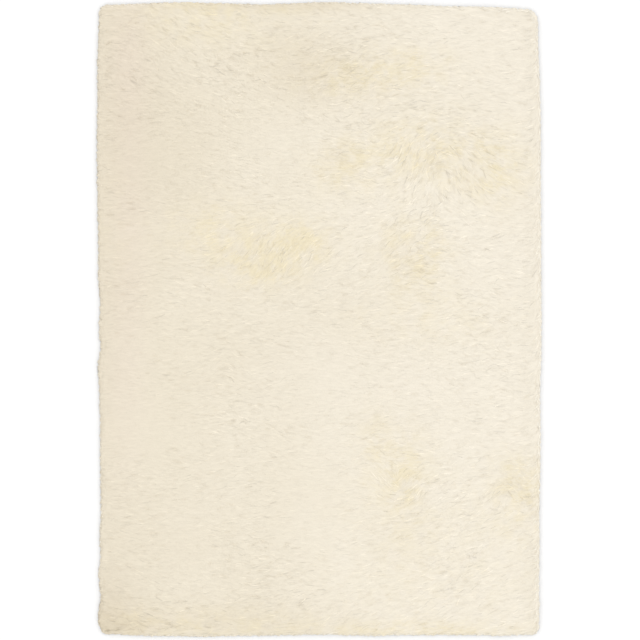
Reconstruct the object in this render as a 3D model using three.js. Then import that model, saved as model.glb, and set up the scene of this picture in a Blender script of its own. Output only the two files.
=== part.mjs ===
// A rectangular shag rug lying flat, in millimetres: +X across its width, +Y along its
// length, +Z up, and the origin on the floor under the middle of the rug.
//
// Backing and pile are one solid: a low slab with a flat underside, a top broken up by
// tufts, and a rim of locks. Each lock of yarn leaves the shoulder of the pile as a ridge,
// bends over the backing's edge and ends in a loose tip just above the floor.

import * as THREE from "three";

// The plain rectangle that the pile fills, before its corners and edges are shaped. The
// backing is 1600 by 2300, and the pile falls out past it all round.
const WIDTH = 1620;
const LENGTH = 2314;
const HALF_WIDTH = WIDTH / 2;
const HALF_LENGTH = LENGTH / 2;
const RIM_LENGTH = 2 * (WIDTH + LENGTH);

// The top. Tufts lie across the rug, so they are wider than long.
const PILE_HEIGHT = 28;
const TUFT = { across: 52, along: 39, height: 4 };
const TUFT_DRIFT = 0.28; // how far a tuft leaves its place, as a share of its size
const SWELL = { across: 430, along: 310, height: 1.6 };
const TOP_INSET = 20; // from the plain rectangle in to the first row of tufts
const SHOULDER_WIDTH = 26;
const SHOULDER_START = 10; // height at which the top starts to round over

// The rim: one row for each ring of points from the floor up. A ring runs over the ridge
// of each lock and through the valley beside it, and inset is measured in from the plain
// rectangle. loose is how far the ring follows its lock's own reach, slant and drop.
const LOCK_COUNT = 288;
const RIM_RINGS = [
  { ridgeInset: 12, ridgeHeight: 0, valleyInset: 12, valleyHeight: 0, loose: 0 },
  { ridgeInset: 0, ridgeHeight: 5, valleyInset: 4.5, valleyHeight: 8, loose: 1 },
  { ridgeInset: 0.5, ridgeHeight: 14, valleyInset: 4, valleyHeight: 14, loose: 0.4 },
  { ridgeInset: 5, ridgeHeight: 23, valleyInset: 8, valleyHeight: 20.5, loose: 0.15 },
];
// The yarn leans to the left, so it falls furthest over that edge.
const LOCK_REACH = { left: 5, right: 2.5, front: 4, back: 4 };
const LOCK_REACH_SPREAD = 0.6; // as a share of the reach
const LOCK_SLANT = 8; // how far a tip lies to one side of its root, at most
const LOCK_DROP = 3; // how far a tip is above or below the others, at most

// Corner roundings. The front left corner is worn to a long slant.
const CORNERS = {
  front_left: { across: 26, along: 56 },
  front_right: { across: 26, along: 26 },
  back_left: { across: 28, along: 28 },
  back_right: { across: 44, along: 44 },
};

// How far each edge stops short of the plain rectangle, at places along it.
const EDGES = {
  left: [
    { at: -1080, short: 3 },
    { at: -1010, short: 11 },
    { at: -937, short: 3 },
    { at: -864, short: 11 },
    { at: -805, short: 7 },
    { at: -720, short: 12 },
    { at: -426, short: 9 },
    { at: -258, short: 6 },
    { at: -177, short: 1 },
    { at: -97, short: 11 },
    { at: -38, short: 5 },
    { at: 49, short: 9 },
    { at: 159, short: 3 },
    { at: 640, short: -2 },
    { at: 963, short: 0 },
    { at: 1109, short: 5 },
  ],
  right: [
    { at: -1083, short: 6 },
    { at: -718, short: 5 },
    { at: -404, short: 1 },
    { at: -279, short: 3 },
    { at: -97, short: -2 },
    { at: 743, short: 1 },
    { at: 926, short: 5 },
    { at: 1036, short: 10 },
  ],
  front: [
    { at: -763, short: 6 },
    { at: -653, short: 1 },
    { at: -450, short: -3 },
    { at: -251, short: 0 },
    { at: 4, short: 4 },
    { at: 224, short: 0 },
    { at: 333, short: 3 },
    { at: 589, short: 3 },
    { at: 662, short: -1 },
    { at: 772, short: 4 },
  ],
  back: [
    { at: -763, short: 6 },
    { at: -507, short: -2 },
    { at: -343, short: 2 },
    { at: -215, short: 6 },
    { at: 41, short: -3 },
    { at: 187, short: 2 },
    { at: 333, short: 6 },
    { at: 479, short: 12 },
    { at: 625, short: 14 },
    { at: 772, short: 22 },
  ],
};

const RUG_COLOUR = 0xf0e7d3;
const SEED = 20;

// A repeatable source of numbers from 0 to 1 (the mulberry32 generator).
function makeRandom(seed) {
  let state = seed;
  return () => {
    state = (state + 0x6d2b79f5) | 0;
    let mixed = Math.imul(state ^ (state >>> 15), 1 | state);
    mixed = (mixed + Math.imul(mixed ^ (mixed >>> 7), 61 | mixed)) ^ mixed;
    return ((mixed ^ (mixed >>> 14)) >>> 0) / 2 ** 32;
  };
}

const random = makeRandom(SEED);

function spread(size) {
  return size * (2 * random() - 1);
}

// How far an edge stops short at a place along it, smoothly between its rows.
function shortfall(rows, at) {
  const next = rows.findIndex((row) => row.at > at);
  if (next === 0) return rows[0].short;
  if (next < 0) return rows.at(-1).short;
  const [before, after] = [rows[next - 1], rows[next]];
  const share = THREE.MathUtils.smoothstep(at, before.at, after.at);
  return THREE.MathUtils.lerp(before.short, after.short, share);
}

// Rounds a corner: squares about the corner's centre become ellipses.
function roundCorner(x, y) {
  const corner = CORNERS[(y < 0 ? "front" : "back") + (x < 0 ? "_left" : "_right")];
  const a = 1 - (HALF_WIDTH - Math.abs(x)) / corner.across;
  const b = 1 - (HALF_LENGTH - Math.abs(y)) / corner.along;
  if (a <= 0 || b <= 0) return { x, y };
  const radius = Math.max(a, b);
  const angle = (Math.PI / 4) * (a > b ? b / a : 2 - a / b);
  return {
    x: Math.sign(x) * (HALF_WIDTH - corner.across * (1 - radius * Math.cos(angle))),
    y: Math.sign(y) * (HALF_LENGTH - corner.along * (1 - radius * Math.sin(angle))),
  };
}

// Where a point of the plain rectangle lies on the rug.
function onRug(x, y) {
  const at = roundCorner(x, y);
  const side = shortfall(x < 0 ? EDGES.left : EDGES.right, at.y);
  const end = shortfall(y < 0 ? EDGES.front : EDGES.back, at.x);
  return { x: at.x * (1 - side / HALF_WIDTH), y: at.y * (1 - end / HALF_LENGTH) };
}

// A place on the plain rectangle's rim: turn runs from 0 to 1, anticlockwise from the
// front left corner.
function rimPlace(turn) {
  const walk = THREE.MathUtils.euclideanModulo(turn, 1) * RIM_LENGTH;
  if (walk < WIDTH) return { side: "front", x: walk - HALF_WIDTH, y: -HALF_LENGTH };
  if (walk < WIDTH + LENGTH) {
    return { side: "right", x: HALF_WIDTH, y: walk - WIDTH - HALF_LENGTH };
  }
  if (walk < 2 * WIDTH + LENGTH) {
    return { side: "back", x: HALF_WIDTH - (walk - WIDTH - LENGTH), y: HALF_LENGTH };
  }
  return { side: "left", x: -HALF_WIDTH, y: HALF_LENGTH - (walk - 2 * WIDTH - LENGTH) };
}

function rimPoint(turn, inset, height) {
  const place = rimPlace(turn);
  const across = 1 - inset / HALF_WIDTH;
  const along = 1 - inset / HALF_LENGTH;
  return { turn, ...onRug(place.x * across, place.y * along), z: height };
}

// Each lock has its own place on the rim, reach past it, slant along it and drop.
function rimLocks() {
  return Array.from({ length: LOCK_COUNT }, (_, i) => {
    const turn = (i + 0.25 + spread(0.12)) / LOCK_COUNT;
    const reach = LOCK_REACH[rimPlace(turn).side] * (1 + spread(LOCK_REACH_SPREAD));
    return { turn, reach, slant: spread(LOCK_SLANT) / RIM_LENGTH, drop: spread(LOCK_DROP) };
  });
}

function rimRing(ring, locks) {
  return locks.flatMap((lock, i) => {
    const next = locks[i + 1] ?? { turn: locks[0].turn + 1 };
    const ridge = rimPoint(
      lock.turn + lock.slant * ring.loose,
      ring.ridgeInset - lock.reach * ring.loose,
      ring.ridgeHeight - lock.drop * ring.loose,
    );
    const valleyTurn = (lock.turn + next.turn) / 2;
    return [ridge, rimPoint(valleyTurn, ring.valleyInset, ring.valleyHeight)];
  });
}

// The top's height at a distance in from the plain rectangle, before tufts and swells.
function crown(inset) {
  const rest = 1 - Math.min(inset / SHOULDER_WIDTH, 1);
  return SHOULDER_START + (PILE_HEIGHT - SHOULDER_START) * Math.sqrt(1 - rest * rest);
}

function swell(x, y) {
  const across = (2 * Math.PI * x) / SWELL.across;
  const along = (2 * Math.PI * y) / SWELL.along;
  return SWELL.height * Math.sin(across + Math.sin(along)) * Math.cos(along - across / 2);
}

// The top as a grid of tufts, and the ring of grid points that borders it.
function tuftGrid() {
  const [width, length] = [WIDTH - 2 * TOP_INSET, LENGTH - 2 * TOP_INSET];
  const [columns, rows] = [Math.round(width / TUFT.across), Math.round(length / TUFT.along)];
  const plane = new THREE.PlaneGeometry(width, length, columns, rows);
  const places = plane.getAttribute("position");
  const points = Array.from({ length: places.count }, (_, i) => {
    const [x, y] = [places.getX(i), places.getY(i)];
    const inset = Math.min(HALF_WIDTH - Math.abs(x), HALF_LENGTH - Math.abs(y));
    const freedom = THREE.MathUtils.smoothstep(inset, TOP_INSET, TOP_INSET + TUFT.along);
    const drift = TUFT_DRIFT * freedom;
    const at = onRug(x + spread(TUFT.across * drift), y + spread(TUFT.along * drift));
    return { ...at, z: crown(inset) + spread(TUFT.height) + freedom * swell(x, y) };
  });
  // PlaneGeometry counts its points along +X and then down from the back row.
  const at = (column, row) => (rows - row) * (columns + 1) + column;
  const count = (n) => [...Array(n).keys()];
  const sides = [
    count(columns).map((i) => ({ index: at(i, 0), walk: (WIDTH * i) / columns })),
    count(rows).map((i) => ({ index: at(columns, i), walk: WIDTH + (LENGTH * i) / rows })),
    count(columns).map((i) => ({
      index: at(columns - i, rows),
      walk: WIDTH + LENGTH + (WIDTH * i) / columns,
    })),
    count(rows).map((i) => ({
      index: at(0, rows - i),
      walk: 2 * WIDTH + LENGTH + (LENGTH * i) / rows,
    })),
  ];
  const border = sides.flat().map(({ index, walk }) => ({ index, turn: walk / RIM_LENGTH }));
  return { points, faces: [...plane.index.array], border };
}

// Fills the band between two rings, the lower one first, with triangles that face out.
function bandFaces(lower, upper) {
  const at = (ring, i) => ring[i % ring.length].index;
  const turn = (ring, i) => ring[i % ring.length].turn + Math.floor(i / ring.length);
  const faces = [];
  let [i, j] = [0, 0];
  while (i < lower.length || j < upper.length) {
    const lowerIsNext = turn(lower, i + 1) <= turn(upper, j + 1);
    if (j === upper.length || (i < lower.length && lowerIsNext)) {
      faces.push(at(lower, i), at(lower, i + 1), at(upper, j));
      i += 1;
    } else {
      faces.push(at(lower, i), at(upper, j + 1), at(upper, j));
      j += 1;
    }
  }
  return faces;
}

function undersideFaces(ring) {
  const outline = ring.map((point) => new THREE.Vector2(point.x, point.y));
  const faces = THREE.ShapeUtils.triangulateShape(outline, []);
  return faces.flatMap(([a, b, c]) => [ring[c].index, ring[b].index, ring[a].index]);
}

// The whole rug, moved so that the origin is under the middle of its box.
function rugGeometry() {
  const { points, faces, border } = tuftGrid();
  const locks = rimLocks();
  const rings = RIM_RINGS.map((row) =>
    rimRing(row, locks).map((point) => ({ ...point, index: points.push(point) - 1 })),
  );
  faces.push(...undersideFaces(rings[0]));
  [...rings, border].reduce((lower, upper) => {
    faces.push(...bandFaces(lower, upper));
    return upper;
  });
  const positions = points.flatMap(({ x, y, z }) => [x, y, z]);
  const rug = new THREE.BufferGeometry()
    .setAttribute("position", new THREE.Float32BufferAttribute(positions, 3))
    .setIndex(faces);
  rug.computeBoundingBox();
  const middle = rug.boundingBox.getCenter(new THREE.Vector3());
  rug.translate(-middle.x, -middle.y, 0);
  rug.computeVertexNormals();
  return rug;
}

const rug = new THREE.Mesh(
  rugGeometry(),
  new THREE.MeshStandardMaterial({ color: RUG_COLOUR, roughness: 0.95, metalness: 0 }),
);
rug.name = "shag_rug";

const group = new THREE.Group();
group.add(rug);

export default group;
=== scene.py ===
"""The dressed shag rug: some fifty-eight thousand curved locks of pile, combed mostly across the rug, on a
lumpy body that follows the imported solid, over a thin woven backing. Sizes are metres; X is across the rug
and Y along it."""

import math

import bmesh
import bpy
import numpy as np
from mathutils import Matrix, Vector
from mathutils.bvhtree import BVHTree


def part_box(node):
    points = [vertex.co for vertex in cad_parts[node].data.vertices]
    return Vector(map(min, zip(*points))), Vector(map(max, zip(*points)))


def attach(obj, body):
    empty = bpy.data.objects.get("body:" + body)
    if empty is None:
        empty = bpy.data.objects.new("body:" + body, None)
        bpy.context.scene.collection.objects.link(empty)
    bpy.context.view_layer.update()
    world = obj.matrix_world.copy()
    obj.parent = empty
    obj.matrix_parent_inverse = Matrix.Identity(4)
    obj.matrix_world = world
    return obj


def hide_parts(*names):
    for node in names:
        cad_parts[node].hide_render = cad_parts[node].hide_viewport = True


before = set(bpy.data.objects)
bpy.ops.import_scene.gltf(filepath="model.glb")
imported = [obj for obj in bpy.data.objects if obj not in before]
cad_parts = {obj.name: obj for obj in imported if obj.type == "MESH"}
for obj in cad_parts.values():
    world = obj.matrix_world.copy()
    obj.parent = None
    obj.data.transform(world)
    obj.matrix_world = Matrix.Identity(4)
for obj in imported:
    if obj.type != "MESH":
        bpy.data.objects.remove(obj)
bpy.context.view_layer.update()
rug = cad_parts["shag_rug"]
rug_low, rug_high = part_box("shag_rug")
random = np.random.default_rng(20)

DOWN = Vector((0, 0, -1))

# Points within FLAT of the solid's underside are on it, and no length counts as less than TINY.
FLAT = 1e-4
TINY = 1e-9

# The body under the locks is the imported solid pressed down, so that the locks on it reach the solid's own
# faces. Its rim is spread by about what the smoothing takes off it. What is above BODY_BASE is rounded.
BODY_SPREAD = 0.0012
BODY_LIFT = 0.002
BODY_PRESS = 0.79
BODY_MERGE = 1e-5
BODY_BASE = BODY_LIFT + FLAT
SMOOTHINGS = 2
SMOOTHING = 0.5

# The woven backing has the outline of the imported solid's underside and lies under the pile, out of sight.
BACKING_THICKNESS = 0.0018
BACKING_CELL = 0.05
OUTLINE_DIGITS = 5

# A lock is three rings of points and a tip, at these shares of its length. A ring's first point is on the
# lock's ridge and the others are on its edges, at the sides that RING_SIDES tells. RING_WIDTH is in shares
# of the lock's width and RING_HEIGHT in shares of its rise off the body. UNDERSIDES are the face at its
# root and those under it, each as its points.
RINGS = np.array([0.0, 0.34, 0.7, 1.0])
RING_WIDTH = np.array([0.6, 1.0, 0.7])
RING_HEIGHT = np.array([-1.0, 0.4, 1.0, 0.3])
RING_SIDES = np.array([0, -1, 1])
RING_POINTS = len(RING_SIDES)
LOCK_POINTS = RING_POINTS * len(RING_WIDTH) + 1
UNDERSIDES = [{0, 1, 2}, {1, 2, 4, 5}, {4, 5, 7, 8}, {7, 8, 9}]

# The fibres scatter light, so a lock's shading turns towards its edges only by SOFT_TILT, and where the
# pile falls over the rim its shading is turned up by RIM_LIGHT. Its underside is shaded towards its sides,
# and by UNDERSIDE_DROP downwards, unless the lock has turned over there.
SOFT_TILT = 0.1
RIM_LIGHT = 2.5
UNDERSIDE_DROP = 0.5

# How a lock lies on the body. ROLL turns it about its own length, in radians. OVERHANG is the share that
# it keeps of each step's way off the body. A lock that bends past LEAST_STRAIGHT, a cosine, is left out.
ROLL = 0.25
OVERHANG = 0.35
LEAST_STRAIGHT = 0.3
FLOOR_ROOM = 0.003

# The locks of the field. Their roots are found by a look down from LOOK_FROM, and their thickness is a
# share of their width. Each rises a little off the body, and a few stand proud of the rest. Their bend,
# their wave and their sway from the comb are in radians.
LOOK_FROM = 1
LOCK_SPACING = 0.0087
RIGHT_BAND = 0.04
LOCK_LENGTH = (0.025, 0.052)
LOCK_WIDTH = (0.0021, 0.0047)
LOCK_THICKNESS = 0.26
LOCK_RISE = (0.0, 0.0005)
PROUD_RISE = 0.0001
MOST_PROUD = 0.006
LOCK_BEND = 0.35
LOCK_WAVE = 0.14
LOCK_SWAY = 0.1
STRIPS = 5

# The rim's locks start in rows at these heights and hang from there. RIM_PAINTED_LIGHT is painted light on
# them, which makes them lighter and greyer against the shade at the rim. Those at the left are longer, by
# up to the share
# LEFT_LONGER, and their rise is changed by a share between LEFT_RAGGED.
RIM_SPACING = 0.0042
RIM_ROWS = (0.004, 0.0065, 0.010, 0.014, 0.018)
RIM_JITTER = 0.0015
RIM_LENGTH = (0.016, 0.03)
RIM_WIDTH = (0.003, 0.0056)
RIM_RISE = (0.001, 0.0036)
RIM_SWAY = 0.35
RIM_BEND = 0.2
RIM_FALL = 0.5
RIM_LOOK = 0.05
RIM_PAINTED_LIGHT = 0.6
LEFT_LONGER = 0.4
LEFT_RAGGED = (-0.6, 0.3)

# Which way the pile lies, in degrees. The comb ran towards -X, but drifted. Each area turns the pile
# towards an angle of its own, and so does each edge within EDGE_REACH. A drift is the sum of WAVES waves,
# each WAVE_LENGTH times as long as the drift's size.
COMB_ANGLE = 180
COMB_DRIFT = [
    # size, degrees
    (0.22, 6.0),
    (0.06, 3.6),
]
WAVES = 7
WAVE_LENGTH = (1.4, 2.6)
EDGE_REACH = 0.018
EDGE_ANGLES = {"left": 184, "right": 285, "front": 232, "back": 128}
EDGE_PULL = 2.5
LAY_AREAS = [
    # x, y, reach_x, reach_y, angle, strength
    (-0.42, 0.93, 0.26, 0.19, 150, 2.0),
    (-0.57, 0.99, 0.08, 0.06, 136, 2.0),
    (-0.20, 0.60, 0.20, 0.16, 160, 1.0),
    (-0.13, 0.25, 0.16, 0.09, 248, 3.0),
    (0.12, 0.93, 0.14, 0.10, 215, 1.4),
    (0.36, 0.62, 0.08, 0.07, 262, 2.4),
    (0.62, 0.50, 0.10, 0.09, 140, 2.0),
    (0.27, 0.26, 0.10, 0.12, 232, 1.4),
    (0.19, -1.09, 0.15, 0.10, 212, 2.0),
    (0.55, -0.86, 0.27, 0.27, 208, 1.6),
    (-0.55, -1.00, 0.22, 0.16, 164, 1.2),
]
WHORLS = [
    # x, y, reach, turn
    (0.47, 0.56, 0.11, 3.0),
    (0.30, -0.62, 0.07, -2.6),
    (0.70, -0.62, 0.06, 2.6),
    (-0.33, -0.16, 0.06, 1.2),
]

# Where the pile stands looser or lies smoother than elsewhere, besides a slow ripple over the whole rug.
EVEN_LOOSENESS = 0.85
LOOSENESS_RANGE = (0.15, 2.0)
RIPPLE = 0.15
RIPPLE_WAVES = [
    # radians a metre across the rug, and along it
    (61, 3),
    (-5, 47),
]
LOOSE_AREAS = [
    # x, y, reach_x, reach_y, amount
    (-0.55, 0.95, 0.22, 0.18, 0.1),
    (-0.29, 0.89, 0.07, 0.12, 0.9),
    (0.13, 0.95, 0.11, 0.16, 0.9),
    (0.30, 0.62, 0.18, 0.20, 0.8),
    (0.50, 0.62, 0.12, 0.20, 0.6),
    (0.37, 0.29, 0.13, 0.14, 0.8),
    (-0.12, 0.25, 0.18, 0.09, 0.4),
    (0.68, -0.04, 0.10, 0.20, 0.6),
    (0.70, -0.64, 0.12, 0.08, 0.6),
    (0.41, -0.62, 0.12, 0.10, 0.6),
    (-0.12, -0.95, 0.10, 0.08, 0.9),
    (-0.65, -1.10, 0.16, 0.05, 0.9),
    (0.53, -0.92, 0.10, 0.10, 0.9),
    (-0.31, -0.33, 0.05, 0.14, 0.5),
    (-0.60, 0.60, 0.16, 0.11, -0.7),
    (-0.12, 0.67, 0.13, 0.09, -0.6),
    (-0.62, 0.29, 0.16, 0.08, -0.6),
    (-0.65, -0.11, 0.12, 0.12, -0.6),
    (-0.62, -0.40, 0.18, 0.12, -0.9),
    (0.02, -0.22, 0.12, 0.13, -0.7),
    (-0.47, -0.80, 0.07, 0.14, -0.6),
    (0.00, -0.66, 0.13, 0.20, -0.6),
    (0.62, 0.98, 0.08, 0.08, -0.4),
]

# Where the pile has yellowed, and a few small dark spots painted as shadow in the gaps between locks. Each
# lock takes up the yellow by its own share, between PATCHINESS.
PATCHINESS = (0.35, 1.65)
YELLOW_AREAS = [
    # x, y, reach_x, reach_y, amount
    (-0.22, 0.21, 0.13, 0.09, 0.68),
    (-0.07, 0.28, 0.12, 0.09, 0.68),
    (-0.40, 0.33, 0.16, 0.11, 0.45),
    (0.10, 0.88, 0.13, 0.07, 0.6),
    (0.32, 0.92, 0.16, 0.08, 0.52),
    (0.10, 0.56, 0.11, 0.09, 0.5),
    (0.38, 0.62, 0.21, 0.12, 0.5),
    (0.64, 0.55, 0.12, 0.12, 0.5),
    (-0.08, 0.95, 0.16, 0.15, 0.15),
    (0.35, 0.24, 0.12, 0.13, 0.6),
    (0.20, -0.45, 0.06, 0.12, 0.3),
    (0.31, -0.58, 0.08, 0.15, 0.52),
    (0.73, -0.63, 0.08, 0.12, 0.6),
    (-0.45, 1.10, 0.26, 0.10, 0.35),
    (-0.74, -1.11, 0.09, 0.05, 1.0),
    (-0.40, -1.12, 0.40, 0.06, 0.4),
    (0.35, -1.14, 0.45, 0.03, 0.4),
    (-0.25, 1.15, 0.35, 0.03, 0.4),
    (-0.75, 0.35, 0.08, 0.25, 0.15),
    (0.40, 0.00, 0.30, 0.10, 0.2),
    (0.45, -0.85, 0.40, 0.35, 0.15),
]
PAINTED_GAP_SHADOWS = [
    # x, y, reach_x, reach_y, amount
    (-0.774, -1.137, 0.007, 0.005, 0.8),
    (-0.755, -1.133, 0.007, 0.004, 0.35),
    (-0.737, -1.134, 0.007, 0.005, 0.75),
    (-0.545, -1.114, 0.012, 0.003, 0.4),
    (0.706, -1.123, 0.008, 0.005, 0.35),
]

# Where painted shade makes the pile darker than its cream, and where it has a pink cast.
PAINTED_SHADE_AREAS = [
    # x, y, reach_x, reach_y, amount
    (-0.80, 0.07, 0.10, 1.30, 0.22),
    (-0.70, 0.85, 0.15, 0.42, 0.30),
    (-0.54, 0.60, 0.22, 0.34, 0.23),
    (-0.77, -1.08, 0.12, 0.14, 0.6),
    (-0.36, -1.11, 0.37, 0.07, 0.26),
    (-0.66, -1.13, 0.10, 0.03, 0.25),
    (-0.12, 1.15, 0.40, 0.02, 0.5),
    (0.04, 0.90, 0.22, 0.14, 0.15),
    (0.08, 0.58, 0.06, 0.08, 0.15),
    (-0.27, 0.22, 0.18, 0.09, 0.08),
    (0.32, 0.22, 0.09, 0.08, 0.12),
    (0.30, -0.61, 0.05, 0.06, 0.10),
    (0.70, -0.61, 0.06, 0.06, 0.10),
    (0.55, 0.95, 0.35, 0.40, 0.06),
    (0.10, -0.12, 0.45, 0.25, 0.10),
    (-0.08, 0.93, 0.16, 0.18, 0.3),
    (-0.72, 0.10, 0.14, 0.30, 0.10),
    (-0.62, -0.80, 0.17, 0.14, 0.12),
]
FLUSHED_AREAS = [
    # x, y, reach_x, reach_y, amount
    (-0.70, 0.95, 0.07, 0.28, 0.45),
    (-0.70, 0.42, 0.07, 0.36, 0.4),
    (-0.71, -0.20, 0.07, 0.36, 0.25),
]

# Linear colours.
# The left cream is darker by painted shade, and also warmer.
LEFT_CREAM_IN_PAINTED_SHADE = (0.868, 0.792, 0.646)
RIGHT_CREAM = (0.930, 0.863, 0.736)
# Painted light on the rim's locks, lighter and greyer than the field.
PAINTED_RIM_LIGHT = (0.94, 0.90, 0.80)
YELLOWED = (0.895, 0.80, 0.585)
# Painted shade, laid over the cream in the listed areas.
PAINTED_SHADE = (0.76, 0.67, 0.52)
FLUSHED = (0.88, 0.76, 0.66)
# Painted shadow for the small dark spots in the gaps between locks.
PAINTED_GAP_SHADOW = (0.22, 0.17, 0.09)
BACKING_YARN = (0.72, 0.66, 0.50)
BACKING_SHADE = (0.50, 0.45, 0.33)
FLOOR_PAINT = (0.92, 0.92, 0.92)

# Each noise's scale, or its scale along each axis, and its detail. Nearly all of a noise is within
# NOISE_RANGE, and most of it within NOISE_CORE.
DRIFT_NOISE = (2.2, 2.0)
CLOUD_NOISE = (22.0, 3.0)
STRAND_NOISE = ((1.5, 16.0, 1.0), 4.0)
DEPTH_NOISE = ((45.0, 520.0, 200.0), 3.0)
NOISE_RANGE = (0.3, 0.7)
NOISE_CORE = (0.35, 0.65)
WEAVE_SCALE = 130.0
WEAVE_DISTORTION = 0.6
FLOOR_GRAIN_SCALE = 3.0

# The cream changes from left to right between CREAM_PLACES, give or take CREAM_DRIFT of the way: towards
# the left it is warmer, and darker by painted shade. The yellow comes in clouds, as strong as
# YELLOW_CLOUDS.
CREAM_PLACES = (-0.62, 0.45)
CREAM_DRIFT = 0.22
YELLOW_CLOUDS = (0.25, 1.7)

# How light the yarn is, in shares of its colour: by the lock's tone, by painted shade from its root to
# ROOT_END of its length, by its strands, and by painted shade deep in the pile. Most tones are within
# TONE_SPREAD of the middle.
TONE_SPREAD = 0.1
TONE_LIGHT = (0.775, 1.06)
ROOT_END = 0.5
ROOT_PAINTED_SHADE = (0.97, 1.0)
STRAND_LIGHT = (0.95, 1.0)
DEPTH_PAINTED_SHADE = (0.86, 0.93)

# Each lock's strands are drawn on a stretch of fibre, STRETCH_STEP further along than the last lock's, and
# from the start again past STRETCH_END. The face at its root takes up ROOT_STRETCH. In the map that a bake
# uses, each lock's cell has a margin.
STRETCH_STEP = 7.3
STRETCH_END = 61
ROOT_STRETCH = 0.06
BAKE_MARGIN = 0.08

# Surfaces. Each roughness is a range, and each bump's depth is in metres.
STRAND_ROUGHNESS = (0.72, 0.92)
DEPTH_ROUGHNESS = (0.8, 0.95)
WEAVE_ROUGHNESS = (0.95, 0.8)
FLOOR_ROUGHNESS = (0.85, 0.95)
STRAND_BUMP = 0.001
DEPTH_BUMP = 0.0012
WEAVE_BUMP = 0.0006
BUMP_STRENGTH = 0.5
LOCK_SHEEN = 0.15
DEPTH_SHEEN = 0.1
BACKING_SHEEN = 0.05
SHEEN_ROUGHNESS = 0.5
CLOTH_SPECULAR = 0.2

# The studio. The sun comes from SUN_FROM, and its disc is SUN_ANGLE degrees across.
FLOOR_SIZE = 60
FLOOR_DROP = 0.0004
SKY_STRENGTH = 1.0
SUN_ENERGY = 0.51
SUN_ANGLE = 25
SUN_FROM = (0.15, 0.25, 1)

# The picture's side covers PICTURE_SPAN at the pile's height, round a point PICTURE_SHIFT from the rug's
# middle.
PICTURE_SPAN = 2.338
PICTURE_SHIFT = (0.0044, -0.0018)
PILE_HEIGHT = 0.028
LENS = 100
SENSOR = 36


def between(low_high, count):
    """Even draws between the two."""
    return random.uniform(*low_high, count)


def unit(vectors):
    """The vectors made 1 long."""
    return vectors / np.maximum(np.linalg.norm(vectors, axis=-1, keepdims=True), TINY)


def towards(degrees):
    """The level direction at each angle."""
    turn = np.radians(degrees)
    return np.stack([np.cos(turn), np.sin(turn)], axis=-1)


def nearness(x, y, area_x, area_y, reach_x, reach_y):
    """How near each point is to the area's middle: 1 there, falling softly to 0 past its reach."""
    return np.exp(-(((x - area_x) / reach_x) ** 2) - ((y - area_y) / reach_y) ** 2)


def areas_at(areas, x, y):
    """The sum of soft round areas at each point."""
    total = np.zeros_like(x)
    for *area, amount in areas:
        total += amount * nearness(x, y, *area)
    return total


def waves(x, y, size):
    """A smooth uneven field from about -1 to 1, its swells about size wide."""
    total = np.zeros_like(x)
    for _ in range(WAVES):
        turn, phase = random.uniform(0, 2 * np.pi, 2)
        pitch = 2 * np.pi / (size * random.uniform(*WAVE_LENGTH))
        total += np.sin(pitch * (x * np.cos(turn) + y * np.sin(turn)) + phase)
    return total / np.sqrt(WAVES)


def looseness(x, y):
    """How loosely the pile stands at each point: about 1, less where it lies smooth and more where it is
    ruffled."""
    ripple = RIPPLE
    for across, along in RIPPLE_WAVES:
        ripple = ripple * np.sin(across * x + along * y)
    return np.clip(EVEN_LOOSENESS + areas_at(LOOSE_AREAS, x, y) + ripple, *LOOSENESS_RANGE)


def lie_of_pile(x, y):
    """The angle in which the comb left the pile at each point, in radians."""
    comb = np.full_like(x, COMB_ANGLE)
    for size, drift in COMB_DRIFT:
        comb += drift * waves(x, y, size)
    flow = towards(comb)
    to_edge = {
        "left": x - rug_low.x,
        "right": rug_high.x - x,
        "front": y - rug_low.y,
        "back": rug_high.y - y,
    }
    for edge, angle in EDGE_ANGLES.items():
        share = EDGE_PULL * np.exp(-((to_edge[edge] / EDGE_REACH) ** 2))
        flow += share[:, None] * towards(angle)
    for *area, angle, strength in LAY_AREAS:
        share = strength * nearness(x, y, *area)
        flow += share[:, None] * towards(angle)
    for whorl_x, whorl_y, reach, turn in WHORLS:
        away = np.stack([x - whorl_x, y - whorl_y], axis=-1) / reach
        share = turn * np.exp(-(away**2).sum(axis=-1))
        flow += share[:, None] * np.stack([-away[:, 1], away[:, 0]], axis=-1)
    return np.arctan2(flow[:, 1], flow[:, 0])


def lifted(normals):
    """The normals turned up, the more the further each is from upright."""
    return unit(normals + (1 - normals[..., 2:]) * [0, 0, RIM_LIGHT])


def shown(name, data):
    """A new object in the scene that shows this mesh, lamp or camera."""
    made = bpy.data.objects.new(name, data)
    bpy.context.collection.objects.link(made)
    return made


def pile_body():
    """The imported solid's own form, pressed down, with its faces made finer and rounder."""
    form = bmesh.new()
    form.from_mesh(rug.data)
    bmesh.ops.remove_doubles(form, verts=form.verts, dist=BODY_MERGE)
    spread = [1 + BODY_SPREAD / rug_high.x, 1 + BODY_SPREAD / rug_high.y, BODY_PRESS]
    for v in form.verts:
        v.co = Vector(a * b for a, b in zip(v.co, spread))
        v.co.z += BODY_LIFT
    bmesh.ops.recalc_face_normals(form, faces=form.faces)
    upper = [e for e in form.edges if max(v.co.z for v in e.verts) > BODY_BASE]
    bmesh.ops.subdivide_edges(form, edges=upper, cuts=1, use_grid_fill=True)
    bmesh.ops.triangulate(form, faces=form.faces)
    upper = [v for v in form.verts if v.co.z > BODY_BASE]
    every_way = {f"use_axis_{axis}": True for axis in "xyz"}
    for _ in range(SMOOTHINGS):
        bmesh.ops.smooth_vert(form, verts=upper, factor=SMOOTHING, **every_way)
    mesh = bpy.data.meshes.new("pile_body")
    form.to_mesh(mesh)
    form.free()
    mesh.shade_smooth()
    normals = np.array([v.normal for v in mesh.vertices])
    above = np.array([v.co.z > BODY_BASE for v in mesh.vertices])
    normals[above] = lifted(normals[above])
    mesh.normals_split_custom_set_from_vertices(normals.tolist())
    return shown("pile_body", mesh)


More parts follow.
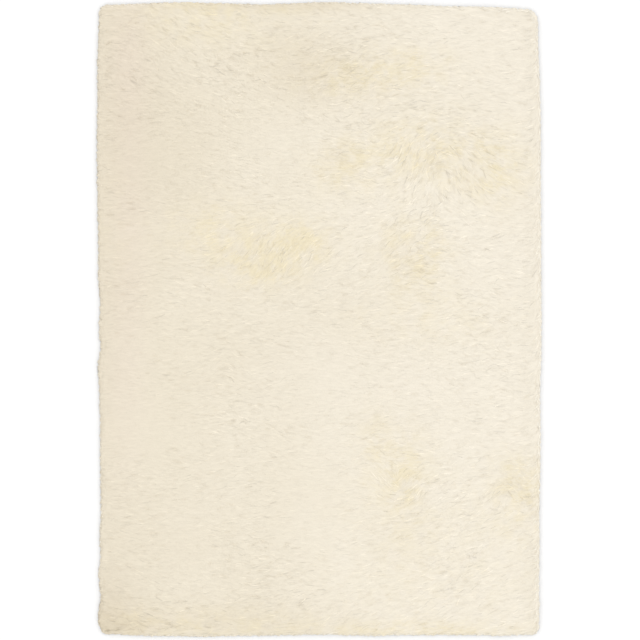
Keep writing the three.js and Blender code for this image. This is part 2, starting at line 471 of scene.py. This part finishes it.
def drape(surface, points, normals, headings, lengths, bends, rises):
    """Walks each lock over the surface. Returns the centres of its rings, with its tip last, and the
    surface's normals there."""
    centres = np.empty((len(points), len(RINGS), 3))
    outward = np.empty_like(centres)
    gaps = np.diff(RINGS, prepend=0)
    for i, (point, normal, heading) in enumerate(zip(points, normals, headings)):
        at = Vector(point)
        up = Vector(normal)
        way = Vector(heading)
        for k, gap in enumerate(gaps):
            if k:
                turn = bends[i, k]
                way = Vector((way.x - turn * way.y, way.y + turn * way.x, way.z))
                pull = way + DOWN * (1 - max(up.z, 0))
                reached = at + (pull - up * pull.dot(up)).normalized() * (lengths[i] * gap)
                found, up, _, _ = surface.find_nearest(reached)
                at = found.lerp(reached, OVERHANG)
            centres[i, k] = at + up * (rises[i] * RING_HEIGHT[k])
            outward[i, k] = up
    centres[:, :, 2] = np.maximum(centres[:, :, 2], FLOOR_ROOM)
    return centres, outward


def with_tips(rings, tips):
    """The values at each lock's ring points, and then at its tip."""
    return np.concatenate([rings.reshape(-1, LOCK_POINTS - 1, 3), tips], axis=1)


def lock_shapes(centres, outward, widths, rolls):
    """Each lock's points, and the normals there of its upper faces and of its underside. A lock has three
    points round each of its centres but the last, which is its tip. The few locks that the rim would bend
    too far are left out."""
    along = unit(np.gradient(centres, axis=1))
    straight = (along[:, 1:] * along[:, :-1]).sum(axis=-1).min(axis=1) > LEAST_STRAIGHT
    centres, outward, widths, rolls, along = (v[straight] for v in (centres, outward, widths, rolls, along))
    side = unit(np.cross(along, outward))
    for k in range(1, len(RINGS)):
        before = side[:, k - 1]
        side[:, k] = unit(before - along[:, k] * (before * along[:, k]).sum(axis=-1, keepdims=True))
    up = np.cross(side, along)
    turns = np.pi / 2 + rolls[:, None] + 2 * np.pi * np.arange(RING_POINTS) / RING_POINTS
    across = np.cos(turns)[:, None, :, None]
    tall = np.sin(turns)[:, None, :, None] * LOCK_THICKNESS
    half = widths[:, None] / 2 * RING_WIDTH
    ring = side[:, :-1, None] * across + up[:, :-1, None] * tall
    rings = centres[:, :-1, None] + ring * half[:, :, None, None]

    lit = lifted(outward)
    sideways = RING_SIDES[:, None] * side[:, :-1, None]
    upper = unit(lit[:, :-1, None] + SOFT_TILT * sideways)
    under = unit(sideways - UNDERSIDE_DROP * lit[:, :-1, None])
    turned_over = up[..., None, 2:] < 0
    under = np.where(turned_over[:, :-1], upper, under)
    tip = centres[:, -1:]
    tip_upper = lit[:, -1:]
    tip_under = np.where(turned_over[:, -1], tip_upper, -tip_upper)
    return np.stack([with_tips(rings, tip), with_tips(upper, tip_upper), with_tips(under, tip_under)])


def lock_faces():
    """The points of each of a lock's faces, and for each corner of them its place round the lock and along
    it."""
    faces = [list(range(RING_POINTS))]
    places = [(j, -ROOT_STRETCH) for j in range(RING_POINTS)]
    for k in range(len(RING_WIDTH) - 1):
        first = RING_POINTS * k
        near, far = RINGS[k : k + 2]
        for j in range(RING_POINTS):
            after = (j + 1) % RING_POINTS
            faces.append([first + after, first + j, first + RING_POINTS + j, first + RING_POINTS + after])
            places += [(j + 1, near), (j, near), (j, far), (j + 1, far)]
    tip = LOCK_POINTS - 1
    first = tip - RING_POINTS
    for j in range(RING_POINTS):
        faces.append([first + (j + 1) % RING_POINTS, first + j, tip])
        places += [(j + 1, RINGS[-2]), (j, RINGS[-2]), (j + 0.5, RINGS[-1])]
    return faces, np.array(places)


def set_values(mesh, label, values):
    """Gives each of the mesh's points a number that its material reads."""
    mesh.attributes.new(label, "FLOAT", "POINT").data.foreach_set("value", np.asarray(values, np.float32))


def mark_areas(mesh, yellowing):
    """Marks where the pile has painted shade, a pink flush, yellowing and small painted shadows in the gaps
    between locks. yellowing scales the yellow.
    """
    places = np.empty(3 * len(mesh.vertices), np.float32)
    mesh.vertices.foreach_get("co", places)
    x, y, _ = places.astype(float).reshape(-1, 3).T
    set_values(mesh, "shade", areas_at(PAINTED_SHADE_AREAS, x, y))
    set_values(mesh, "flush", areas_at(FLUSHED_AREAS, x, y))
    set_values(mesh, "warm", areas_at(YELLOW_AREAS, x, y) * yellowing)
    set_values(mesh, "painted_gap_shadow", areas_at(PAINTED_GAP_SHADOWS, x, y))


def joined_mesh(name, faces, points, upper, under):
    """One mesh of all these locks, shaded by their normals."""
    count = len(points)
    sizes = np.array([len(f) for f in faces])
    corners = np.concatenate(faces)
    firsts = np.concatenate([[0], np.cumsum(sizes)[:-1]])
    each = np.arange(count)[:, None]
    mesh = bpy.data.meshes.new(name)
    mesh.vertices.add(count * LOCK_POINTS)
    mesh.vertices.foreach_set("co", points.astype(np.float32).ravel())
    mesh.loops.add(count * len(corners))
    mesh.loops.foreach_set("vertex_index", (each * LOCK_POINTS + corners).astype(np.int32).ravel())
    mesh.polygons.add(count * len(faces))
    mesh.polygons.foreach_set("loop_start", (each * len(corners) + firsts).astype(np.int32).ravel())
    mesh.update(calc_edges=True)
    mesh.shade_smooth()
    below = np.repeat([set(f) in UNDERSIDES for f in faces], sizes)
    normals = np.where(below[:, None], under[:, corners], upper[:, corners])
    mesh.normals_split_custom_set(normals.reshape(-1, 3).tolist())
    return mesh


def lay_out_maps(mesh, places, count):
    """Gives each lock its own stretch of fibre, and its own cell in the map that a bake uses."""
    each = np.arange(count)
    stretch = STRETCH_STEP * each[:, None] % STRETCH_END
    fibre = np.stack(np.broadcast_arrays(places[:, 1] + stretch, places[:, 0] / RING_POINTS), axis=-1)
    mesh.uv_layers.new(name="fibre").data.foreach_set("uv", fibre.astype(np.float32).ravel())
    cells = int(np.ceil(np.sqrt(count)))
    inside = (places / [RING_POINTS, 1] + [0, ROOT_STRETCH]) / [1, 1 + ROOT_STRETCH]
    inside = inside * (1 - 2 * BAKE_MARGIN) + BAKE_MARGIN
    cell = np.stack([each % cells, each // cells], axis=-1)
    baked = (cell[:, None] + inside) / cells
    mesh.uv_layers.new(name="OFBake").data.foreach_set("uv", baked.astype(np.float32).ravel())
    mesh.uv_layers.active = mesh.uv_layers["fibre"]


def uneven_tone(count):
    """How light or dark each lock is, from -1 to 1: most are near the middle and a few far from it."""
    return np.clip(TONE_SPREAD * random.standard_normal(count) ** 3, -1, 1)


def joined_locks(name, shapes, painted_light=0.0):
    """One piece of all these locks, with what their material reads at each point. paler is the painted
    light on them, which makes them lighter and greyer than the rest of the pile."""
    points, upper, under = shapes
    count = len(points)
    faces, places = lock_faces()
    mesh = joined_mesh(name, faces, points, upper, under)
    along = np.append(np.repeat(RINGS[:-1], RING_POINTS), RINGS[-1])
    # The rim's painted light lifts each lock's tone as well.
    tone = uneven_tone(count) * looseness(points[:, 0, 0], points[:, 0, 1]) + painted_light
    set_values(mesh, "along", np.tile(along, count))
    set_values(mesh, "tone", np.repeat(tone, LOCK_POINTS))
    set_values(mesh, "painted_rim_light", np.full(count * LOCK_POINTS, painted_light))
    mark_areas(mesh, np.repeat(between(PATCHINESS, count), LOCK_POINTS))
    lay_out_maps(mesh, places, count)
    return shown(name, mesh)


def field_roots(surface):
    """Places on the body's top, one in each cell of a jittered grid, and its normals there. The comb drew
    the pile away from the right edge, so the band there is planted twice."""
    across = np.arange(rug_low.x, rug_high.x, LOCK_SPACING)
    across = np.append(across, np.arange(rug_high.x - RIGHT_BAND, rug_high.x, LOCK_SPACING))
    along = np.arange(rug_low.y, rug_high.y, LOCK_SPACING)
    grid = np.stack(np.meshgrid(across, along), axis=-1).reshape(-1, 2)
    grid += random.uniform(0, LOCK_SPACING, grid.shape)
    points, normals = [], []
    for x, y in grid:
        place, normal, _, _ = surface.ray_cast(Vector((x, y, LOOK_FROM)), DOWN)
        if place:
            points.append(place)
            normals.append(normal)
    return np.array(points), np.array(normals)


def field_locks(surface):
    """The locks of the pile's field, which lie as the comb left them, and less evenly where it is loose."""
    points, normals = field_roots(surface)
    x, y = points[:, 0], points[:, 1]
    count = len(points)
    loose = looseness(x, y)
    angle = lie_of_pile(x, y) + random.normal(0, LOCK_SWAY, count) * loose
    headings = np.stack([np.cos(angle), np.sin(angle), 0 * angle], axis=-1)
    lengths = between(LOCK_LENGTH, count)
    steps = len(RINGS) - 1
    unruly = (1 + loose) / 2
    curl = random.normal(0, LOCK_BEND, count) * unruly / steps
    wave = random.normal(0, LOCK_WAVE, count) * unruly
    bends = np.stack([0 * curl, curl + wave, curl - wave, curl - wave], axis=-1)
    proud = np.minimum(PROUD_RISE * random.exponential(1, count) ** 2 * loose, MOST_PROUD)
    rises = between(LOCK_RISE, count) * np.sqrt(loose) + proud
    centres, outward = drape(surface, points, normals, headings, lengths, bends, rises)
    return lock_shapes(centres, outward, between(LOCK_WIDTH, count), random.normal(0, ROLL, count) * loose)


def rim_roots(surface):
    """Places all round the rim, row over row, each found by a level look at the body from outside it, and
    the body's normals there."""
    points, normals = [], []
    for axis, other in ((0, 1), (1, 0)):
        for way in (-1, 1):
            look = Vector((0, 0, 0))
            look[axis] = -way
            for height in RIM_ROWS:
                for along in np.arange(rug_low[other], rug_high[other], RIM_SPACING):
                    start = Vector((0, 0, height + RIM_JITTER * random.uniform(-1, 1)))
                    start[other] = along + RIM_SPACING * random.uniform(0, 1)
                    start[axis] = way * (rug_high[axis] + RIM_LOOK)
                    place, normal, _, _ = surface.ray_cast(start, look, 2 * RIM_LOOK)
                    if place:
                        points.append(place)
                        normals.append(normal)
    return np.array(points), np.array(normals)


def rim_locks(surface):
    """Locks that hang from the pile's rim, longer and more ragged at the left, where the comb ran over
    it."""
    points, normals = rim_roots(surface)
    count = len(points)
    left = np.clip(-normals[:, 0], 0, 1)
    angle = lie_of_pile(points[:, 0], points[:, 1]) + random.normal(0, RIM_SWAY, count)
    headings = np.stack([np.cos(angle), np.sin(angle), np.full(count, -RIM_FALL)], axis=-1)
    lengths = between(RIM_LENGTH, count) * (1 + LEFT_LONGER * left)
    bends = random.normal(0, RIM_BEND, (count, len(RINGS)))
    rises = between(RIM_RISE, count) * (1 + left * between(LEFT_RAGGED, count))
    centres, outward = drape(surface, points, normals, headings, lengths, bends, rises)
    return lock_shapes(centres, outward, between(RIM_WIDTH, count), random.normal(0, ROLL, count))


def node(tree, kind, sockets=(), **settings):
    """A shader node. Sockets are named or numbered, and a value that is another node's socket is linked."""
    made = tree.nodes.new("ShaderNode" + kind)
    for label, value in settings.items():
        setattr(made, label, value)
    for label, value in dict(sockets).items():
        if isinstance(value, bpy.types.NodeSocket):
            tree.links.new(value, made.inputs[label])
        else:
            made.inputs[label].default_value = value
    return made


def blended(tree, share, first, second):
    """The socket of a colour mix from first to second."""
    colours = [c if isinstance(c, bpy.types.NodeSocket) else (*c, 1) for c in (first, second)]
    return node(tree, "Mix", {0: share, 6: colours[0], 7: colours[1]}, data_type="RGBA").outputs[2]


def ranged(tree, value, low_high, to_low_high):
    """The socket of value mapped from one range to the other."""
    limits = dict(enumerate((*low_high, *to_low_high), start=1))
    return node(tree, "MapRange", {0: value, **limits}).outputs[0]


def noise(tree, place, scale, detail):
    """The socket of a noise at these places."""
    return node(tree, "TexNoise", {"Vector": place, "Scale": scale, "Detail": detail}).outputs["Fac"]


def stretched_noise(tree, place, scales, detail):
    """The socket of a noise with its own scale along each axis of these places."""
    scaled = node(tree, "Mapping", {"Vector": place, "Scale": scales}).outputs[0]
    return noise(tree, scaled, 1.0, detail)


def bumped(tree, height, depth):
    """The socket of the normals bent by the height."""
    return node(tree, "Bump", {"Strength": BUMP_STRENGTH, "Distance": depth, "Height": height}).outputs[0]


def attribute(tree, label):
    """The socket of the numbers that set_values gave the mesh."""
    return node(tree, "Attribute", attribute_name=label).outputs["Fac"]


def object_place(tree):
    """The socket of the place on the piece, in metres."""
    return node(tree, "TexCoord").outputs["Object"]


def bare_material(name):
    """A material with an empty tree, and that tree."""
    material = bpy.data.materials.new(name)
    material.use_nodes = True
    material.node_tree.nodes.clear()
    return material, material.node_tree


def finish_cloth(tree, colour, roughness, bump, sheen):
    """Ends a cloth material: a rough surface with the soft sheen of fibres."""
    shader = node(tree, "BsdfPrincipled", {
        "Base Color": colour,
        "Roughness": roughness,
        "Normal": bump,
        "Specular IOR Level": CLOTH_SPECULAR,
        "Sheen Weight": sheen,
        "Sheen Roughness": SHEEN_ROUGHNESS,
    })
    node(tree, "OutputMaterial", {"Surface": shader.outputs[0]})


def marked_cream(tree):
    """The pile's cream, a little warmer towards the rug's left and darker there by painted shade, with the
    marked areas on it.
    """
    place = object_place(tree)
    x = node(tree, "SeparateXYZ", {0: place}).outputs["X"]
    drift = ranged(tree, noise(tree, place, *DRIFT_NOISE), NOISE_RANGE, (-CREAM_DRIFT, CREAM_DRIFT))
    to_right = ranged(tree, x, CREAM_PLACES, (0.0, 1.0))
    swayed = node(tree, "Math", {0: to_right, 1: drift}, operation="ADD").outputs[0]
    colour = blended(tree, swayed, LEFT_CREAM_IN_PAINTED_SHADE, RIGHT_CREAM)
    clouds = ranged(tree, noise(tree, place, *CLOUD_NOISE), NOISE_CORE, YELLOW_CLOUDS)
    yellow = node(tree, "Math", {0: attribute(tree, "warm"), 1: clouds}, operation="MULTIPLY").outputs[0]
    marks = [
        (attribute(tree, "painted_rim_light"), PAINTED_RIM_LIGHT),
        (attribute(tree, "flush"), FLUSHED),
        (yellow, YELLOWED),
        (attribute(tree, "shade"), PAINTED_SHADE),
        (attribute(tree, "painted_gap_shadow"), PAINTED_GAP_SHADOW),
    ]
    for share, tint in marks:
        colour = blended(tree, share, colour, tint)
    return colour


def shaded_by(tree, colour, *shares):
    """The socket of the colour times each of the shares."""
    for share in shares:
        colour = node(tree, "VectorMath", {0: colour, "Scale": share}, operation="SCALE").outputs[0]
    return colour


def lock_material():
    """Yarn of the locks: painted shade towards the root, each lock's own tone, and fine fibres along it."""
    material, tree = bare_material("lock_yarn")
    fibre = node(tree, "UVMap", uv_map="fibre").outputs[0]
    strands = stretched_noise(tree, fibre, *STRAND_NOISE)
    colour = shaded_by(
        tree, marked_cream(tree),
        ranged(tree, attribute(tree, "tone"), (-1, 1), TONE_LIGHT),
        ranged(tree, attribute(tree, "along"), (0, ROOT_END), ROOT_PAINTED_SHADE),
        ranged(tree, strands, NOISE_RANGE, STRAND_LIGHT),
    )
    roughness = ranged(tree, strands, NOISE_RANGE, STRAND_ROUGHNESS)
    finish_cloth(tree, colour, roughness, bumped(tree, strands, STRAND_BUMP), LOCK_SHEEN)
    return material


def body_material():
    """The fibres deep in the pile, darkened by painted shade, which lie across the rug as the locks do."""
    material, tree = bare_material("pile_depth")
    fibres = stretched_noise(tree, object_place(tree), *DEPTH_NOISE)
    colour = shaded_by(tree, marked_cream(tree), ranged(tree, fibres, NOISE_RANGE, DEPTH_PAINTED_SHADE))
    roughness = ranged(tree, fibres, NOISE_RANGE, DEPTH_ROUGHNESS)
    finish_cloth(tree, colour, roughness, bumped(tree, fibres, DEPTH_BUMP), DEPTH_SHEEN)
    return material


def backing_material():
    """A plain weave of coarse yarn."""
    material, tree = bare_material("woven_backing")
    yarn = {"Vector": object_place(tree), "Scale": WEAVE_SCALE, "Distortion": WEAVE_DISTORTION}
    threads = [node(tree, "TexWave", yarn, bands_direction=way).outputs["Fac"] for way in ("X", "Y")]
    weave = node(tree, "Math", {0: threads[0], 1: threads[1]}, operation="MAXIMUM").outputs[0]
    colour = blended(tree, weave, BACKING_SHADE, BACKING_YARN)
    roughness = ranged(tree, weave, (0, 1), WEAVE_ROUGHNESS)
    finish_cloth(tree, colour, roughness, bumped(tree, weave, WEAVE_BUMP), BACKING_SHEEN)
    return material


def floor_material():
    """Matt white paint."""
    material, tree = bare_material("floor_paint")
    grain = node(tree, "TexNoise", {"Scale": FLOOR_GRAIN_SCALE}).outputs["Fac"]
    shader = node(tree, "BsdfPrincipled", {
        "Base Color": (*FLOOR_PAINT, 1),
        "Roughness": ranged(tree, grain, (0, 1), FLOOR_ROUGHNESS),
        "Specular IOR Level": 0.0,
    })
    node(tree, "OutputMaterial", {"Surface": shader.outputs[0]})
    return material


def backing():
    """The thin woven backing, flat on the floor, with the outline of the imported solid's underside."""
    ring = {v.co.to_tuple(OUTLINE_DIGITS) for v in rug.data.vertices if v.co.z < FLAT}
    form = bmesh.new()
    for x, y, _ in sorted(ring, key=lambda p: math.atan2(p[1], p[0])):
        form.verts.new((x, y, BACKING_THICKNESS))
    form.faces.new(form.verts)
    for axis, reach in enumerate(rug_high[:2]):
        normal = Vector((0, 0, 0))
        normal[axis] = 1
        for cut in np.arange(BACKING_CELL - reach, reach, BACKING_CELL):
            parts = form.verts[:] + form.edges[:] + form.faces[:]
            bmesh.ops.bisect_plane(form, geom=parts, plane_co=normal * cut, plane_no=normal)
    lower = bmesh.ops.extrude_face_region(form, geom=form.faces[:], use_keep_orig=True)
    for item in lower["geom"]:
        if isinstance(item, bmesh.types.BMVert):
            item.co.z = 0
    bmesh.ops.recalc_face_normals(form, faces=form.faces)
    mesh = bpy.data.meshes.new("backing")
    form.to_mesh(mesh)
    form.free()
    return shown("backing", mesh)


def studio():
    """A plain white floor, soft light and the camera straight above."""
    bpy.ops.mesh.primitive_plane_add(size=FLOOR_SIZE, location=(0, 0, -FLOOR_DROP))
    floor = bpy.context.object
    floor.name = "floor"
    floor.data.materials.append(floor_material())

    sky = bpy.data.worlds.new("studio")
    sky.use_nodes = True
    background = sky.node_tree.nodes["Background"]
    background.inputs["Color"].default_value = (1, 1, 1, 1)
    background.inputs["Strength"].default_value = SKY_STRENGTH
    bpy.context.scene.world = sky
    lamp = bpy.data.lights.new("overhead", "SUN")
    lamp.energy = SUN_ENERGY
    lamp.angle = math.radians(SUN_ANGLE)
    overhead = shown("overhead", lamp)
    overhead.rotation_euler = Vector(SUN_FROM).to_track_quat("Z", "Y").to_euler()

    camera = shown("camera", bpy.data.cameras.new("camera"))
    camera.data.lens = LENS
    camera.data.sensor_width = SENSOR
    camera.location = (*PICTURE_SHIFT, PICTURE_SPAN * LENS / SENSOR + PILE_HEIGHT)
    bpy.context.scene.camera = camera
    bpy.context.scene.view_settings.view_transform = "Standard"


body = pile_body()
surface = BVHTree.FromObject(body, bpy.context.evaluated_depsgraph_get())
yarn = lock_material()
mark_areas(body.data, 1.0)
body.data.materials.append(body_material())
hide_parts("shag_rug")

field = field_locks(surface)
root_x = field[0, :, 0, 0]
strips = np.clip((root_x - rug_low.x) / (rug_high.x - rug_low.x) * STRIPS, 0, STRIPS - 1).astype(int)
pile = [body]
for i in range(STRIPS):
    pile.append(joined_locks(f"pile_strip_{i + 1}", field[:, strips == i]))
pile.append(joined_locks("rim_locks", rim_locks(surface), RIM_PAINTED_LIGHT))
for piece in pile[1:]:
    piece.data.materials.append(yarn)
for piece in pile:
    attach(piece, "root")

sheet = backing()
sheet.data.materials.append(backing_material())
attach(sheet, "root")

studio()
